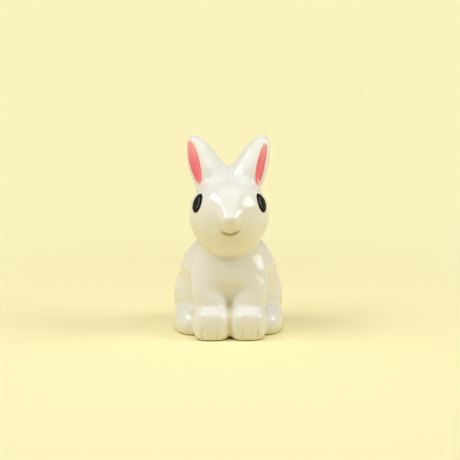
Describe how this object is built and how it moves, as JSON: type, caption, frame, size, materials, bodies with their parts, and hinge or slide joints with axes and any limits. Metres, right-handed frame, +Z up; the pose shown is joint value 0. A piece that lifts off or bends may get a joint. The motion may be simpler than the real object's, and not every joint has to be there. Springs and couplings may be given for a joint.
{
  "type": "ceramic rabbit figurine",
  "caption": "Seated white glazed ceramic rabbit with upright ears lined in pink, black oval eyes and rounded paws. A small ornament that stands on a shelf.",
  "frame": {"origin": "middle of the figure's footprint, on the table", "axes": "+Z up, the face looks along -Y, +X towards the rabbit's left side"},
  "size_m": [0.043, 0.0485, 0.074],
  "materials": {
    "white_glaze": "glossy white glaze",
    "pink_enamel": "glossy pink overglaze enamel",
    "black_enamel": "glossy black overglaze enamel"
  },
  "bodies": {
    "root": {"torso_casting": "white_glaze", "head_casting": "white_glaze", "left_ear": "white_glaze", "right_ear": "white_glaze", "left_ear_lining": "pink_enamel", "right_ear_lining": "pink_enamel", "left_eye": "black_enamel", "right_eye": "black_enamel", "left_foreleg": "white_glaze", "right_foreleg": "white_glaze", "left_haunch": "white_glaze", "right_haunch": "white_glaze", "left_hind_foot": "white_glaze", "right_hind_foot": "white_glaze", "tail": "white_glaze"}
  },
  "joints": []
}
